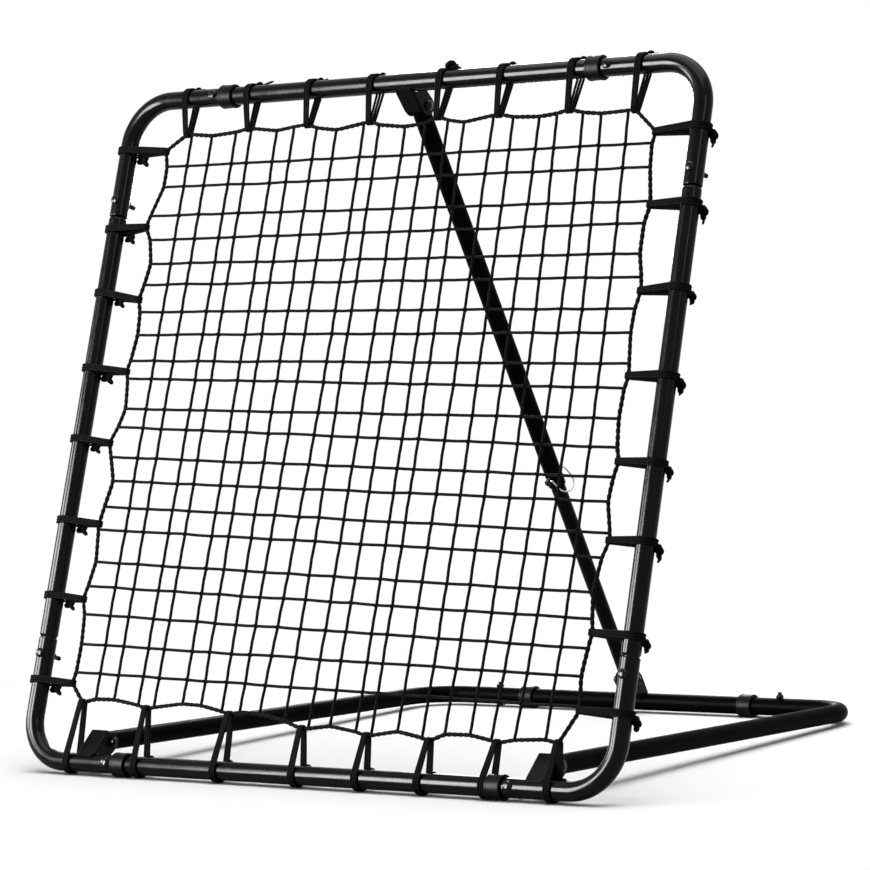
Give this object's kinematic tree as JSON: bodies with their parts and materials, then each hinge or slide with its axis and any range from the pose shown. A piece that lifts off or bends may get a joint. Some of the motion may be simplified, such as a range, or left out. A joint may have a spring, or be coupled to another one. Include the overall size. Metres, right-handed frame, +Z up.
{
  "type": "pitch back rebounder",
  "caption": "Leaning square frame of round tube with a knotted net laced into it, standing on a U-shaped tube base with a telescopic rear strut that sets the lean.",
  "frame": {"origin": "On the floor at the middle of the object's footprint, halfway between the bottom rail of the leaning frame and the rear rail of the base.", "axes": "+X across the net towards the object's left-hand side as it faces the player, +Y from the net towards the rear rail, +Z up."},
  "size_m": [0.9668, 0.837, 0.9217],
  "materials": {
    "enamel": "gloss black powder coat",
    "strut_enamel": "gloss black powder coat, rubbed by sliding",
    "bracket_enamel": "satin black powder coat on folded sheet",
    "fastener": "blackened zinc, bright on the edges",
    "collar_plastic": "moulded black plastic",
    "net_cord": "twisted black cord",
    "lacing_cord": "twisted black cord"
  },
  "bodies": {
    "base": {"base_arm_left": "enamel", "base_arm_right": "enamel", "rear_rail": "enamel", "collar_rear_left": "collar_plastic", "collar_rear_right": "collar_plastic", "rear_left_bolt": "fastener", "rear_left_nut": "fastener", "rear_right_bolt": "fastener", "rear_right_nut": "fastener", "rear_bracket": "bracket_enamel", "pivot_foot_bolt": "fastener", "pivot_foot_nut": "fastener"},
    "frame": {"corner_tube_tl": "enamel", "corner_tube_tr": "enamel", "corner_tube_bl": "enamel", "corner_tube_br": "enamel", "top_rail": "enamel", "bottom_rail": "enamel", "side_tube_left": "enamel", "side_tube_right": "enamel", "collar_top_left": "collar_plastic", "collar_top_right": "collar_plastic", "collar_bottom_left": "collar_plastic", "collar_bottom_right": "collar_plastic", "tl_top_bolt": "fastener", "tl_top_nut": "fastener", "tl_left_bolt": "fastener", "tl_left_nut": "fastener", "tr_top_bolt": "fastener", "tr_top_nut": "fastener", "tr_right_bolt": "fastener", "tr_right_nut": "fastener", "bl_bottom_bolt": "fastener", "bl_bottom_nut": "fastener", "bl_left_bolt": "fastener", "bl_left_nut": "fastener", "br_bottom_bolt": "fastener", "br_bottom_nut": "fastener", "br_right_bolt": "fastener", "br_right_nut": "fastener", "base_bracket_left": "bracket_enamel", "base_bracket_right": "bracket_enamel", "top_bracket": "bracket_enamel", "pivot_left_bolt": "fastener", "pivot_left_nut": "fastener", "pivot_right_bolt": "fastener", "pivot_right_nut": "fastener", "pivot_top_bolt": "fastener", "pivot_top_nut": "fastener", "net": "net_cord", "edge_lacing": "lacing_cord"},
    "strut_lower": {"strut_inner": "strut_enamel", "lock_pin": "fastener"},
    "strut_upper": {"strut_outer": "enamel"},
    "bail": {"pin_bail": "fastener"}
  },
  "joints": [
    {"name": "frame_tilt", "type": "hinge", "parent": "base", "child": "frame", "pos_m": [0, -0.37083, 0.04111], "axis": [1, 0, 0], "range_deg": [0, 15]},
    {"name": "strut_foot", "type": "hinge", "parent": "base", "child": "strut_lower", "pos_m": [0, 0.38088, 0.05], "axis": [1, 0, 0], "range_deg": [0, 9.2]},
    {"name": "strut_extend", "type": "slide", "parent": "strut_lower", "child": "strut_upper", "axis": [0, -0.4934, 0.8698], "range_m": [0, 0.168]},
    {"name": "bail_swing", "type": "hinge", "parent": "strut_lower", "child": "bail", "pos_m": [0, 0.19095, 0.3504], "axis": [-0.8746, 0.2392, -0.4217], "range_deg": [0, 90]}
  ],
  "couplings": [
    {"joint": "strut_foot", "follows": "frame_tilt", "ratio": 0.602},
    {"joint": "strut_extend", "follows": "frame_tilt", "m_per_rad": 0.6324}
  ]
}
